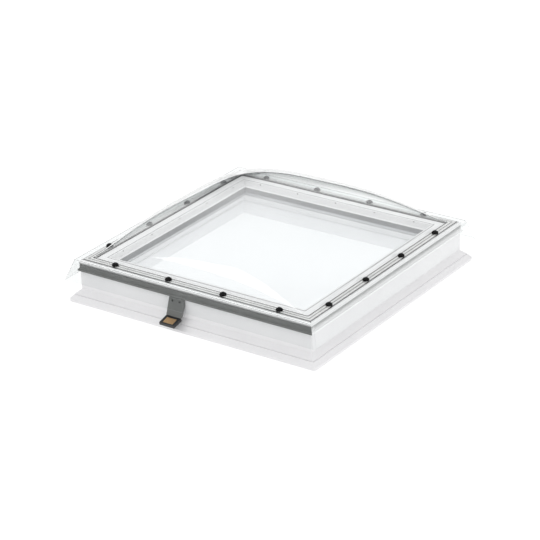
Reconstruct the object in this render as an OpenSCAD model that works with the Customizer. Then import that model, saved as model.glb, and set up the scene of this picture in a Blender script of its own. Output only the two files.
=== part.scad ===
// Opening roof skylight: an upstand, a hinged sash with sealed glass, a clear dome, a rain sensor
// and a chain drive. X runs along the hinge, +Y points to the hinge, Z is up, Z = 0 is the roof.
// A section point is [u, z]: u is measured outwards from the edge of the roof opening.

/* [Roof opening] */
// Clear width of the opening, along the hinge
opening_w = 1000; // [700:10:1300]
// Clear length of the opening, from the front to the hinge side
opening_l = 1000; // [800:10:1300]

/* [Upstand] */
// Height of the upstand's outer wall
curb_h = 138; // [120:1:180]
// How far the roof flange reaches outside the opening
flange_reach = 96; // [86:1:130]
// Thickness of the roof flange at its edge
flange_t = 11; // [8:1:15]
// Outer face of the upstand's wall, from the opening
wall_out = 56; // [54:0.5:62]
// Thickness of the upstand's outer wall above the rebate
wall_t = 24; // [18:1:24]
// Radius of the flange's corners in plan
flange_corner_r = 12; // [4:1:30]
// Depth from the top of the outer wall down to the inner rebate
rebate_drop = 70; // [66:1:76]
// Bore for a roof fixing screw
fixing_d = 8; // [5:0.5:10]
// Counterbore for a fixing screw's head
fixing_head_d = 17; // [14:0.5:20]
// Distance from a fixing screw to the middle of its side
fixing_spread = 400; // [300:10:420]

/* [Sash] */
// Height of the sash's top above the upstand's outer wall
sash_rise = 37; // [34:1:45]
// Gap between the sash and the top of the outer wall, filled by the seal
seal_gap = 5; // [3:0.5:7]
// Gap between the sash's leg and the outer wall
leg_gap = 4.5; // [3:0.1:7]
// Gap under the sash's leg
foot_gap = 2.5; // [1.5:0.1:4]
// Thickness of a glazing bead at its top
bead_t = 7.8; // [6:0.1:10]
// Height of the glazing bead above the gasket line
bead_h = 41; // [36:1:46]
// Height of the aluminium rail's section over the sash
rail_h = 7; // [6:0.5:9]

/* [Glass] */
// Thickness of one pane
pane_t = 4; // [3:0.5:6]
// Gap between the panes
pane_gap = 16; // [10:1:18]
// How far the gasket's lip covers the glass beyond the bead
gasket_lip = 20; // [12:1:26]
// Clearance round the edge of the sealed unit
glass_edge_gap = 4; // [2:0.5:6]

/* [Dome] */
// Thickness of the clear dome
dome_t = 3; // [2:0.1:5]
// Rise of the dome above its flange
dome_rise = 194; // [60:1:240]
// Where the dome's foot stands, from the opening
dome_foot = 16; // [12:0.5:17]
// Thickness of the sealing strip under the flange
strip_t = 3; // [2:0.1:4]
// Width of the sealing strip's head, on top of the rails
strip_w = 26; // [20:0.5:30]
// Width of the sealing strip's stem, in the rails' channel
stem_w = 15; // [11:0.5:17]
// Height of the skirt below the flange
skirt_drop = 84; // [60:1:90]
// How far the skirt flares out beyond its fold
skirt_flare = 28; // [18:1:36]
// Diameter of a black screw cap
cap_d = 28; // [24:0.5:30]
// Height of a screw cap
cap_h = 12; // [9:0.5:16]
// Number of dome screws on each side
caps_per_side = 4; // [3:1:6]
// Distance from a corner of the screw line to its first screw
cap_end = 136.7; // [60:0.1:160]

/* [Hinges] */
// Distance from a hinge to the middle of the back side
hinge_spread = 330; // [200:5:360]
// Width of a hinge
hinge_w = 60; // [40:1:90]
// Diameter of a hinge pin
hinge_pin_d = 6; // [4:0.5:8]
// Thickness of a hinge leaf
leaf_t = 2.5; // [2:0.1:3]
// Axis of the hinge, outside the opening
hinge_out = 73; // [72:0.5:76]
// Largest opening angle of the sash
open_angle = 6.5; // [4:0.5:7]

/* [Chain drive] */
// Pitch of the chain
chain_pitch = 9; // [8:0.5:10]
// Number of sprocket teeth
teeth = 6; // [6:1:8]
// Diameter of a chain pin
chain_pin_d = 3; // [2:0.1:4]
// Place of the chain, from the opening
chain_u = 9; // [8:0.5:11]
// Length of the drive's housing
drive_len = 420; // [300:10:500]

/* [Rain sensor] */
// Width of the sensor and its arm
sensor_w = 71; // [40:1:90]
// Distance from the sensor to the middle of the front
sensor_off = 70; // [40:1:200]

/* [Hidden] */
$fn = 48;

FRONT = 0;
RIGHT = 1;
BACK = 2;
LEFT = 3;
half = [opening_w / 2, opening_l / 2];
reach = 140;                               // longest section offset that a side may need
inner_reach = 80;                          // how far sections reach inside the opening
mitre_gap = 0.15;                          // half of the gap at a mitre between separate bars
touch = 0.1;                               // clearance between seated pieces of one body

// Upstand levels
wall_in = wall_out - wall_t;
rebate_z = curb_h - rebate_drop;
fixing_line = 20;                          // offset of the roof fixing screws
fixing_head_z = 20;                        // level of the counterbores' floor
grommet_x = 120;
grommet_d = 14;
grommet_u = 6;                             // offset of the cable grommet from the chain
seal_groove_u = wall_in + 9;
lining_slope = 0.31;                       // inward lean of the lining per unit of height
lining_z0 = 4;
crease_z = 27;
function lining_u(z) = -lining_slope * (z - lining_z0);

// Sash levels
sash_foot = rebate_z + foot_gap;
sash_under = curb_h + seal_gap;
sash_top = curb_h + sash_rise;
rail_seat = sash_top - rail_h;
leg_out = wall_in - leg_gap;
bead_u = -22;                              // outer face of the beads, inner face of the rebate
bead_in = bead_u - bead_t;
glass_top = sash_top - bead_h - 4;
glass_t = 2 * pane_t + pane_gap;
glass_under = glass_top - glass_t;
tape_t = 2;
ledge_z = glass_under - tape_t;
ledge_in = -36;
glass_u = bead_u - glass_edge_gap;
gasket_top = glass_top + 20;
gasket_t = 3.8;
rail_in = 15.2;
rail_lip = wall_out + 9;
rail_wall = wall_out + 1.5;
rail_inner = wall_out - 2.5;
lip_z = curb_h - 7;
nose_r = 8;
nose_out = wall_out + 4;
channel_depth = 3;
screw_u = 32;                              // line of the dome screws
stem_clear = 1.8;                          // open channel beside the strip's stem
rail_gap = 1.8;                            // open joint between the sash's white top and the rails
bead_gap = 0.7;                            // open joint between the beads and the sash
chamber_z = sash_top - 4.5;                // ceiling of the rails' hollow chambers

// Dome levels
flange_z = sash_top + strip_t;
flange_top = flange_z + dome_t;
fold_u = wall_out + 21;
skirt_z = flange_top - skirt_drop;
skirt_u = fold_u + skirt_flare;

// Hinge
hinge_z = curb_h - 6;
hinge_y = half[1] + hinge_out;
knuckle_r = hinge_pin_d / 2 + 2.5;
knuckle_gap = 0.5;
centre_knuckle = hinge_w * 0.46;
leaf_screw_d = 4;
leaf_screw_spread = hinge_w * 0.3;
leaf_screw_z = curb_h - 28;
cove_mid = sash_top - 24;

// Chain drive
sprocket_r = teeth * chain_pitch / (2 * PI);
chain_top = rail_seat - 11;                // middle of the end pin, under the bracket
chain_low = 13;                            // lowest level that a chain pin may stand at
chain_holes = 1 + 2 * floor((chain_top - chain_low) / (2 * chain_pitch));
chain_z0 = chain_top - (chain_holes - 1) * chain_pitch;
tooth_tip = 2;                             // how far a tooth stands outside the pitch circle
sprocket_z = chain_z0 + round((rebate_z / 2 + 4 - chain_z0) / chain_pitch) * chain_pitch;
sprocket_u = chain_u + sprocket_r;
link_w = 7.2;
inner_x0 = 2.2;
plate_t = 1.5;
plate_gap = 0.2;
guide_top = chain_top - 6;
guide_clear = 0.4;
guide_wall = 2.1;
pocket_in = 1;
pocket_out = max(wall_in - 0.5, sprocket_u + sprocket_r + tooth_tip + 3.2);
pocket_z = 6;
housing_t = 1.2;
housing_gap = 0.5;
drive_x0 = -60;                            // end of the housing on the chain's short side
drive_x1 = drive_x0 + drive_len;
housing_in = pocket_in + housing_gap;
housing_out = pocket_out - housing_gap;
housing_z0 = pocket_z + 1.6;
housing_z1 = rebate_z - 2;
housing_floor = housing_z0 + housing_t;
drive_mid_u = (housing_in + housing_out) / 2;
gearbox_x = 16;
gearbox_len = 44;
gearbox_w = 16;
motor_d = 24;
motor_len = 84;
shaft_r = 2.5;
shaft_in = 20;                             // how far the sprocket's shaft reaches into the gearbox
end_pin_d = 6;
notch_x = 15;
bracket_t = 3;
bracket_z = chain_top + 6.5;
inner_x1 = inner_x0 + plate_t;
outer_x0 = inner_x1 + plate_gap;
outer_x1 = outer_x0 + plate_t;
pin_x = outer_x1 + 0.5;
guide_x = pin_x + guide_clear + guide_wall;
guide_y = link_w / 2 + guide_clear + guide_wall;
ear_x0 = pin_x + 1.5;
ear_t = 2.5;
end_pin_x = ear_x0 + ear_t + 0.5;
// The end pin slides outwards in the bracket's slots as the sash opens
chain_reach = hinge_out + opening_l + chain_u;
pin_over = chain_top - hinge_z;
slot_run = (chain_reach + pin_over * sin(open_angle)) / cos(open_angle) - chain_reach + 1;
slot_r = end_pin_d / 2 + 0.35;
ear_out = slot_run + slot_r + 2.5;
room_in = 11;

// Rain sensor
arm_lean = 0.37;                           // outward lean per unit of height
arm_t = 2;
arm_top = lip_z - 1;
arm_foot = arm_top - 70;
arm_u = wall_out + 8;
head_len = 52;
head_t = 12;
head_tilt = 14;

// ---------- frames of reference and section tools ----------

function along(i) = half[i % 2];                 // half the length of side i
function away(i) = half[(i + 1) % 2];            // how far side i stands from the middle
function arc(u, z, r, a0, a1, n = 6) =
    [for (k = [0:n]) [u + r * cos(a0 + (a1 - a0) * k / n), z + r * sin(a0 + (a1 - a0) * k / n)]];

module place(i) rotate(90 * i) translate([0, -away(i), 0]) children();

// A straight bar of side i from a section, cut to its mitres
module side(i, section, gap = 0) place(i) intersection() {
    rotate([90, 0, 90])
        linear_extrude(2 * (along(i) + reach), center = true)
            polygon([for (p = section) [-p[0], p[1]]]);
    linear_extrude(sash_top + 50)
        polygon([[-along(i) + inner_reach + gap, inner_reach], [along(i) - inner_reach - gap, inner_reach],
                 [along(i) + reach - gap, -reach], [-along(i) - reach + gap, -reach]]);
}

module ring(section) for (i = [FRONT:LEFT]) side(i, section);

// A flat square ring between two offsets and two levels
module flat_ring(u0, u1, z0, z1) translate([0, 0, z0]) linear_extrude(z1 - z0) difference() {
    square([opening_w + 2 * u1, opening_l + 2 * u1], center = true);
    square([opening_w + 2 * u0, opening_l + 2 * u0], center = true);
}

// A rod along X, Y or Z through a point
module rod_x(r, x0, x1) translate([x0, 0, 0]) rotate([0, 90, 0]) cylinder(h = x1 - x0, r = r);
module rod_y(r, y0, y1) translate([0, y1, 0]) rotate([90, 0, 0]) cylinder(h = y1 - y0, r = r);

// ---------- upstand ----------

curb_section = [[0, 0], [flange_reach, 0], [flange_reach, flange_t], [flange_reach - 15, crease_z],
    [flange_reach - 20, crease_z + 0.5], [flange_reach - 18, crease_z + 4], [wall_out, crease_z + 23],
    [wall_out, curb_h - 1.5], [wall_out - 1.5, curb_h], [wall_in, curb_h], [wall_in, rebate_z],
    [lining_u(rebate_z), rebate_z], [0, lining_z0]];

module fixing_holes() {
    for (i = [FRONT:LEFT], s = [-1, 1]) place(i) translate([s * fixing_spread, -fixing_line, 0]) {
        translate([0, 0, -1]) cylinder(h = curb_h, d = fixing_d);
        translate([0, 0, fixing_head_z]) cylinder(h = curb_h, d = fixing_head_d);
    }
}

// The pocket in the front that holds the chain drive
module drive_pocket() translate([drive_x0 - housing_gap, -half[1] - pocket_out, pocket_z])
    cube([drive_len + 2 * housing_gap, pocket_out - pocket_in, rebate_z]);

module curb_frame() color("white") difference() {
    intersection() {
        ring(curb_section);
        linear_extrude(curb_h + 1) {
            w = opening_w + 2 * flange_reach;
            l = opening_l + 2 * flange_reach;
            square([w - 2 * flange_corner_r, l], center = true);
            square([w, l - 2 * flange_corner_r], center = true);
            for (sx = [-1, 1], sy = [-1, 1])
                translate([sx * (w / 2 - flange_corner_r), sy * (l / 2 - flange_corner_r)])
                    circle(flange_corner_r);
        }
    }
    fixing_holes();
    drive_pocket();
    translate([grommet_x, -half[1] - chain_u - grommet_u, -1]) cylinder(h = pocket_z + 2, d = grommet_d);
    flat_ring(seal_groove_u, seal_groove_u + 4, curb_h - 4, curb_h + 1);
    sensor_screw_places() rod_y(sensor_screw_d / 2, -12, 12);
    for (s = [-1, 1]) curb_leaf_screw_places(s) rod_y(leaf_screw_d / 2, -14, 14);
}

// Compression seal: a foot in the wall's groove and a soft head under the sash
module curb_seal() color("dimgray") {
    ring([[seal_groove_u + 0.2, curb_h - 3.9], [seal_groove_u + 3.8, curb_h - 3.9],
        [seal_groove_u + 3.8, curb_h + 0.2], [seal_groove_u + 5.5, curb_h + 1.4],
        [seal_groove_u + 5, sash_under - 1.4], [seal_groove_u + 3.6, sash_under - 0.35],
        [seal_groove_u + 0.4, sash_under - 0.35], [seal_groove_u - 1, sash_under - 1.4],
        [seal_groove_u - 1.5, curb_h + 1.4], [seal_groove_u + 0.2, curb_h + 0.2]]);
}

module cable_grommet() color("black") translate([grommet_x, -half[1] - chain_u - grommet_u, 0])
rotate_extrude()
    polygon([[4, 0.5], [grommet_d / 2 - touch, 0.5], [grommet_d / 2 - touch, pocket_z + touch],
        [grommet_d / 2 + 2, pocket_z + touch], [grommet_d / 2 + 2, pocket_z + 1.3], [4, pocket_z + 1.3]]);

// ---------- sash and glass ----------

sash_section = [[lining_u(sash_foot), sash_foot], [leg_out, sash_foot], [leg_out, sash_under],
    [rail_inner - touch, sash_under], [rail_inner - touch, rail_seat], [rail_in - rail_gap, rail_seat],
    [rail_in - rail_gap, sash_top], [bead_u, sash_top], [bead_u, ledge_z], [ledge_in, ledge_z]];

// Room in the sash's front leg for the chain, its guide and the bracket
module chain_room() translate([0, -half[1] - chain_u, 0]) {
    translate([-notch_x, -(leg_out - chain_u) - 2, sash_foot - 1])
        cube([2 * notch_x, leg_out - chain_u + 2 + room_in, sash_under - sash_foot + 1]);
    translate([-notch_x, -ear_out - 0.5, sash_under - 1])
        cube([2 * notch_x, ear_out + 0.5 + room_in, bracket_z + bracket_t - sash_under + 1]);
}

module sash_frame() color("white") difference() {
    ring(sash_section);
    chain_room();
    dome_screw_places() translate([0, 0, rail_seat - 9]) cylinder(h = 20, d = dome_screw_d + 0.2);
    bead_screw_places() rod_y(bead_screw_d / 2 + 0.1, -13, 5);
    for (s = [-1, 1]) sash_leaf_screw_places(s) rod_y(leaf_screw_d / 2, -14, 14);
    bracket_screw_places() rod_y(1.6, -4, 11);
}

module pane(z) translate([0, 0, z]) linear_extrude(pane_t)
    square([opening_w + 2 * glass_u, opening_l + 2 * glass_u], center = true);
module outer_pane() color("lightcyan", 0.4) pane(glass_top - pane_t);
module inner_pane() color("lightcyan", 0.4) pane(glass_under);
spacer_w = 8;
seal_w = 3;
module glass_spacer() color("silver")
    flat_ring(glass_u - seal_w - spacer_w, glass_u - seal_w, glass_under + pane_t, glass_top - pane_t);
module glass_edge_seal() color("black")
    flat_ring(glass_u - seal_w, glass_u, glass_under + pane_t, glass_top - pane_t);
module glass_tape() color("gray") flat_ring(ledge_in + 1, glass_u - 1, ledge_z, glass_under);

gasket_in = bead_in - gasket_lip - 0.2;
module glazing_gasket() color("dimgray") ring([[gasket_in, glass_top], [bead_u - 0.6, glass_top],
    [bead_u - 0.6, glass_top + gasket_t], [bead_in + 2.7, glass_top + gasket_t],
    [bead_in + 0.7, gasket_top - 0.3], [gasket_in, glass_top + 1.6]]);

// Glazing bead of one side; five screws hold it to the sash
bead_screw_count = 5;
bead_screw_end = 85;
bead_screw_d = 3;
bead_screw_z = sash_top - 5;
module bead_screw_places() for (i = [FRONT:LEFT], k = [0:bead_screw_count - 1]) place(i)
    translate([(2 * k / (bead_screw_count - 1) - 1) * (along(i) + bead_in - bead_screw_end),
        -bead_in, bead_screw_z]) children();

module bead(i) color("white") difference() {
    side(i, [[bead_in, sash_top], [bead_u - bead_gap, sash_top],
        [bead_u - bead_gap, glass_top + gasket_t + touch],
        [bead_in + 2.8, glass_top + gasket_t + touch], [bead_in + 0.8, gasket_top]], mitre_gap);
    bead_screw_places() rod_y(bead_screw_d / 2 + 0.1, -13, 5);
}

module bead_screws() color("gray") bead_screw_places() {
    rod_y(bead_screw_d / 2, -12, touch);
    rotate([-90, 0, 0]) translate([0, 0, touch]) rotate_extrude()
        polygon([[0, 0], [2.5, 0], [2.3, 0.7], [1.2, 1.1], [0, 1.1]]);
}

// ---------- rails ----------

rail_top_section = [[rail_in, rail_seat], [rail_in, sash_top],
    [screw_u - stem_w / 2 - stem_clear, sash_top],
    [screw_u - stem_w / 2 - stem_clear, sash_top - channel_depth],
    [screw_u + stem_w / 2 + stem_clear, sash_top - channel_depth],
    [screw_u + stem_w / 2 + stem_clear, sash_top]];
rail_nose_section = concat(arc(nose_out - nose_r, sash_top - nose_r, nose_r, 90, 0),
    [[nose_out, sash_top - 12.5], [rail_wall + 0.6, sash_top - 16]]);
rail_lip_section = [[rail_wall, sash_top - 17.5], [rail_wall, curb_h + 6.5], [rail_wall + 3, curb_h + 2],
    [rail_lip - 1, curb_h + 0.8], [rail_lip, curb_h], [rail_lip, lip_z], [rail_lip - 2.5, lip_z],
    [rail_lip - 2.5, lip_z + 5], [rail_wall + 0.5, curb_h + 0.4], [rail_inner + 1.5, sash_under - 1],
    [rail_inner, sash_under - 1]];
rail_plain_foot = [[rail_wall, sash_top - 17.5], [rail_wall, sash_under - 1], [rail_inner, sash_under - 1]];
rail_chamber = [[rail_inner, rail_seat], [rail_inner - 2.5, rail_seat], [rail_inner - 2.5, chamber_z],
    [screw_u + 5, chamber_z], [screw_u + 5, rail_seat], [screw_u + 2.6, rail_seat],
    [screw_u + 2.6, chamber_z - 0.7], [screw_u - 2.6, chamber_z - 0.7], [screw_u - 2.6, rail_seat],
    [screw_u - 5, rail_seat], [screw_u - 5, chamber_z], [rail_in + 2.3, chamber_z],
    [rail_in + 2.3, rail_seat]];
rail_section = concat(rail_top_section, rail_nose_section, rail_lip_section, rail_chamber);
front_rail_section = concat(rail_top_section, rail_nose_section, rail_plain_foot, rail_chamber);

module rail(i) color("gainsboro") difference() {
    side(i, i == FRONT ? front_rail_section : rail_section, mitre_gap);
    dome_screw_places() translate([0, 0, rail_seat - 1]) cylinder(h = 20, d = dome_screw_d + 0.4);
    if (i == BACK) for (s = [-1, 1]) {
        translate([s * hinge_spread - hinge_w / 2 - 2, half[1] + rail_wall, lip_z - 1])
            cube([hinge_w + 4, 20, curb_h + 8.5 - lip_z]);
        translate([s * hinge_spread - hinge_w / 2 - 2, half[1] + wall_out - 5, lip_z - 1])
            cube([hinge_w + 4, 20, sash_under - lip_z]);
        sash_leaf_screw_places(s) rod_y(leaf_screw_d / 2, -14, 14);
    }
}

// Thin dark strip that closes the front rail's hollow and forms its drip lip
trim_t = 1.2;
trim_top = sash_top - 17.6;
module front_trim() color("dimgray") side(FRONT, [[rail_wall + touch, trim_top],
    [rail_wall + trim_t, trim_top], [rail_wall + trim_t, curb_h + 6.8], [rail_wall + 3.8, curb_h + 2],
    [rail_lip - 1, curb_h + 0.9], [rail_lip, curb_h], [rail_lip, lip_z], [rail_lip - 2, lip_z],
    [rail_lip - 2, curb_h - 1.5], [rail_wall + 2.6, curb_h + 0.2], [rail_wall + touch, curb_h + 4.6]],
    mitre_gap);

// L-shaped cleats inside the rails' outer chambers
cleat_leg = 55;
cleat_out = rail_inner - 3;
cleat_in = screw_u + 6;
module rail_cleats() color("silver") for (sx = [-1, 1], sy = [-1, 1])
    scale([sx, sy, 1]) translate([half[0], half[1], rail_seat + touch])
        linear_extrude(chamber_z - rail_seat - 2 * touch)
            polygon([[cleat_out, cleat_out], [cleat_out - cleat_leg, cleat_out],
                [cleat_out - cleat_leg, cleat_in], [cleat_in, cleat_in],
                [cleat_in, cleat_out - cleat_leg], [cleat_out, cleat_out - cleat_leg]]);

// ---------- dome ----------

dome_screw_d = 4.8;
module dome_screw_places() for (i = [FRONT:LEFT], k = [0:caps_per_side - 1]) place(i)
    translate([(2 * k / (caps_per_side - 1) - 1) * (along(i) + screw_u - cap_end), -screw_u, 0])
        children();

// Sealing strip: a stem in the rails' channel under a wide flat head
module dome_seal() color("gainsboro") difference() {
    union() {
        flat_ring(screw_u - stem_w / 2, screw_u + stem_w / 2, sash_top - channel_depth, flange_z);
        flat_ring(screw_u - strip_w / 2, screw_u + strip_w / 2, sash_top, flange_z);
    }
    dome_screw_places() translate([0, 0, rail_seat]) cylinder(h = 20, d = dome_screw_d + 0.4);
}

dome_section = concat([[dome_foot - 2, flange_z], [dome_foot - 2, flange_top]],
    arc(fold_u - 6, flange_top - 6, 6, 90, 20, 4),
    [[skirt_u, skirt_z], [skirt_u - dome_t, skirt_z]],
    arc(fold_u - 6, flange_top - 6, 6 - dome_t, 20, 90, 4));

// The bulge: a square pillow with steep sides and a flat crown, as a shell of even grids
bulge_n = 34;
bulge_p = 2.85;
bulge_q = 0.65;
function bulge_pos(k) = sin(90 * (2 * k / bulge_n - 1));
function bulge_height(x, y) =
    pow(max(0, (1 - pow(abs(x), bulge_p)) * (1 - pow(abs(y), bulge_p))), bulge_q);
function bulge_grid(inset, base) = [for (j = [0:bulge_n], i = [0:bulge_n])
    let (x = bulge_pos(i), y = bulge_pos(j))
    [x * (half[0] + dome_foot - inset), y * (half[1] + dome_foot - inset),
     base + (dome_rise - inset) * bulge_height(x, y)]];
module bulge() {
    n = bulge_n + 1;
    count = n * n;
    foot = flange_z + dome_t * 0.6;
    last = bulge_n - 1;
    cells = [for (j = [0:last], i = [0:last]) let (a = j * n + i) [a, a + 1, a + n + 1, a + n]];
    outer_faces = [for (c = cells) each [[c[0], c[2], c[1]], [c[0], c[3], c[2]]]];
    inner_faces = [for (c = cells) each [[count + c[0], count + c[1], count + c[2]],
        [count + c[0], count + c[2], count + c[3]]]];
    rim = concat([for (i = [0:last]) [i, i + 1]],
        [for (j = [0:last]) [j * n + bulge_n, (j + 1) * n + bulge_n]],
        [for (i = [bulge_n:-1:1]) [bulge_n * n + i, bulge_n * n + i - 1]],
        [for (j = [bulge_n:-1:1]) [j * n, (j - 1) * n]]);
    rim_faces = [for (e = rim) each [[e[0], e[1], count + e[1]], [e[0], count + e[1], count + e[0]]]];
    polyhedron(concat(bulge_grid(0, foot), bulge_grid(dome_t, foot)),
        concat(outer_faces, inner_faces, rim_faces));
}

module dome() color("azure", 0.3) difference() {
    union() {
        ring(dome_section);
        bulge();
    }
    dome_screw_places() translate([0, 0, flange_z - 1]) cylinder(h = dome_t + 2, d = dome_screw_d + 2);
}

washer_t = 2;
head_h = 3;
module dome_washers() color("black") dome_screw_places() translate([0, 0, flange_top]) difference() {
    cylinder(h = washer_t, d = cap_d - 10);
    translate([0, 0, -1]) cylinder(h = washer_t + 2, d = dome_screw_d + 0.2);
}
module dome_screws() color("silver") dome_screw_places() {
    translate([0, 0, rail_seat - 8]) cylinder(h = flange_top + washer_t - rail_seat + 8.5, d = dome_screw_d);
    translate([0, 0, flange_top + washer_t]) cylinder(h = head_h, d = 10);
}
module dome_caps() color("black") dome_screw_places() translate([0, 0, flange_top]) rotate_extrude() {
    r = cap_d / 2;
    polygon(concat([[r - 2, 0], [r, 0], [r, 2.2]], arc(r - 7, 2.2, 7, 5, 45, 4),
        [[r * 0.45, cap_h - 0.8], [0, cap_h], [0, cap_h - 2], [r * 0.4, cap_h - 2.6],
        [r - 7, 7.2], [r - 2, 3]]));
}

// ---------- hinges ----------

module curb_leaf_screw_places(s) for (d = [-1, 1])
    translate([s * hinge_spread + d * leaf_screw_spread, half[1] + wall_out, leaf_screw_z]) children();
module sash_leaf_screw_places(s) for (d = [-1, 1])
    translate([s * hinge_spread + d * leaf_screw_spread, half[1] + rail_wall, cove_mid]) children();

// Plate and web of a leaf, drawn as sections along the hinge
module leaf_part(s, width, section) rotate([90, 0, 90]) translate([0, 0, s * hinge_spread])
    linear_extrude(width, center = true) polygon([for (p = section) [half[1] + p[0], p[1]]]);
module leaf_plate(s, plate_u, z0, z1)
    leaf_part(s, hinge_w, [[plate_u, z0], [plate_u + leaf_t, z0], [plate_u + leaf_t, z1], [plate_u, z1]]);
module knuckle(s, x0, x1) translate([s * hinge_spread, hinge_y, hinge_z]) rod_x(knuckle_r, x0, x1);
module pin_bore(s, extra) translate([s * hinge_spread, hinge_y, hinge_z])
    rod_x(hinge_pin_d / 2 + extra, -hinge_w, hinge_w);

curb_leaf_web = [[wall_out + touch, hinge_z - 10], [wall_out + touch + leaf_t, hinge_z - 12],
    [hinge_out, hinge_z - knuckle_r], [hinge_out, hinge_z - knuckle_r + leaf_t],
    [wall_out + touch + leaf_t, hinge_z - 12 + leaf_t + 1.2], [wall_out + touch, hinge_z - 8]];
module curb_leaf(s) color("silver") difference() {
    union() {
        leaf_plate(s, wall_out + touch, curb_h - 44, hinge_z - 8);
        difference() {
            leaf_part(s, hinge_w, curb_leaf_web);
            translate([s * hinge_spread - centre_knuckle / 2 - knuckle_gap,
                half[1] + wall_out + leaf_t + 1, 0])
                cube([centre_knuckle + 2 * knuckle_gap, 40, curb_h]);
        }
        for (d = [-1, 1]) knuckle(s, d > 0 ? centre_knuckle / 2 + knuckle_gap : -hinge_w / 2,
            d > 0 ? hinge_w / 2 : -centre_knuckle / 2 - knuckle_gap);
    }
    pin_bore(s, 0.02);
    curb_leaf_screw_places(s) rod_y(leaf_screw_d / 2 + 0.2, -14, 14);
}

sash_leaf_web = [[rail_wall + touch, cove_mid - 6], [hinge_out - 2, hinge_z + knuckle_r - 1.2],
    [hinge_out, hinge_z + 3.5], [hinge_out + 2, hinge_z + knuckle_r],
    [rail_wall + touch + leaf_t, cove_mid - 5]];
module sash_leaf(s) color("silver") difference() {
    union() {
        leaf_plate(s, rail_wall + touch, cove_mid - 6, cove_mid + 6);
        leaf_part(s, centre_knuckle, sash_leaf_web);
        knuckle(s, -centre_knuckle / 2, centre_knuckle / 2);
    }
    pin_bore(s, 0.05);
    sash_leaf_screw_places(s) rod_y(leaf_screw_d / 2 + 0.2, -14, 14);
}

module hinge_pin(s) color("gray") translate([s * hinge_spread, hinge_y, hinge_z]) {
    rod_x(hinge_pin_d / 2, -hinge_w / 2 - 1, hinge_w / 2 + 1);
    rod_x(hinge_pin_d / 2 + 1.5, hinge_w / 2 + 0.2, hinge_w / 2 + 2);
    rod_x(hinge_pin_d / 2 + 1.5, -hinge_w / 2 - 2, -hinge_w / 2 - 0.2);
}

module leaf_screw() {
    rod_y(leaf_screw_d / 2 - 0.1, -12, leaf_t + 0.5);
    rotate([-90, 0, 0]) translate([0, 0, leaf_t + 0.2]) rotate_extrude()
        polygon([[0, 0], [leaf_screw_d * 0.9, 0], [leaf_screw_d * 0.8, 1.2],
            [leaf_screw_d * 0.4, 1.8], [0, 1.8]]);
}
module curb_leaf_screws() color("gray") for (s = [-1, 1]) curb_leaf_screw_places(s) leaf_screw();
module sash_leaf_screws() color("gray") for (s = [-1, 1]) sash_leaf_screw_places(s) leaf_screw();

// ---------- rain sensor ----------

sensor_screw_d = 3.5;
module sensor_screw_places() for (d = [-1, 1])
    translate([-sensor_off + d * sensor_w * 0.25, -half[1] - wall_out, arm_top - 12]) children();

// The arm: a folded channel that leans outwards, with a tab behind it on the upstand
function arm_face(z) = arm_u + (arm_top - z) * arm_lean;
module arm_part(width, section) translate([-sensor_off, -half[1], 0]) rotate([90, 0, 90])
    linear_extrude(width, center = true) polygon([for (p = section) [-p[0], p[1]]]);
module sensor_arm() color("dimgray") difference() {
    union() {
        arm_part(sensor_w, [[arm_face(arm_top) - arm_t, arm_top], [arm_face(arm_top), arm_top],
            [arm_face(arm_foot), arm_foot], [arm_face(arm_foot) - arm_t, arm_foot]]);
        for (d = [-1, 1]) translate([d * (sensor_w - arm_t) / 2, 0, 0]) arm_part(arm_t, [
            [wall_out + touch, arm_top], [arm_face(arm_top) - 0.5, arm_top],
            [arm_face(arm_foot) - 0.5, arm_foot], [arm_face(arm_foot) - 11, arm_foot + 3],
            [wall_out + touch, arm_top - 30]]);
        arm_part(sensor_w, [[wall_out + touch, arm_top], [wall_out + touch + arm_t, arm_top],
            [wall_out + touch + arm_t, arm_top - 26], [wall_out + touch, arm_top - 26]]);
    }
    sensor_screw_places() rod_y(sensor_screw_d / 2 + 0.2, -12, 6);
    sensor_screw_places() rod_y(sensor_screw_d + 0.6, -30, -arm_t - 1);
}
module sensor_screws() color("gray") sensor_screw_places() {
    rod_y(sensor_screw_d / 2 - 0.1, -arm_t - 0.5, 11);
    rod_y(sensor_screw_d, -arm_t - 2, -arm_t - 0.2);
}

// The head: a shallow black tray under a gold sensing plate
module head_frame() translate([-sensor_off, -half[1] - arm_face(arm_foot) + arm_t, arm_foot - 0.3])
    rotate([head_tilt, 0, 0]) children();
plate_inset = 12;
module sensor_head() color("black") head_frame() difference() {
    translate([-sensor_w / 2, -head_len, -head_t]) cube([sensor_w, head_len, head_t]);
    translate([-sensor_w / 2 - 1, -head_len - 1, -head_t - 1]) rotate([-24, 0, 0])
        translate([0, -10, -12]) cube([sensor_w + 2, head_len + 30, 12]);
    translate([-sensor_w / 2 + plate_inset, -head_len + 8, -2.2])
        cube([sensor_w - 2 * plate_inset, head_len - 20, 3]);
    translate([-sensor_w / 2 + 3, -head_len + 3, -1]) cube([sensor_w - 6, head_len - 8, 2]);
}
module sensor_plate() color("tan") head_frame()
    translate([-sensor_w / 2 + plate_inset + touch, -head_len + 8 + touch, -2.1])
        cube([sensor_w - 2 * plate_inset - 2 * touch, head_len - 20 - 2 * touch, 1.6]);

// ---------- chain drive ----------

module at_chain() translate([0, -half[1] - chain_u, 0]) children();
module drive_box(inset, z0, z1) translate([drive_x0 + inset, -half[1] - housing_out + inset, z0])
    cube([drive_len - 2 * inset, housing_out - housing_in - 2 * inset, z1 - z0]);

module drive_screw_places() for (x = [drive_x0 + 14, drive_x1 - 14])
    translate([x, -half[1] - drive_mid_u, 0]) children();

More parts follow.
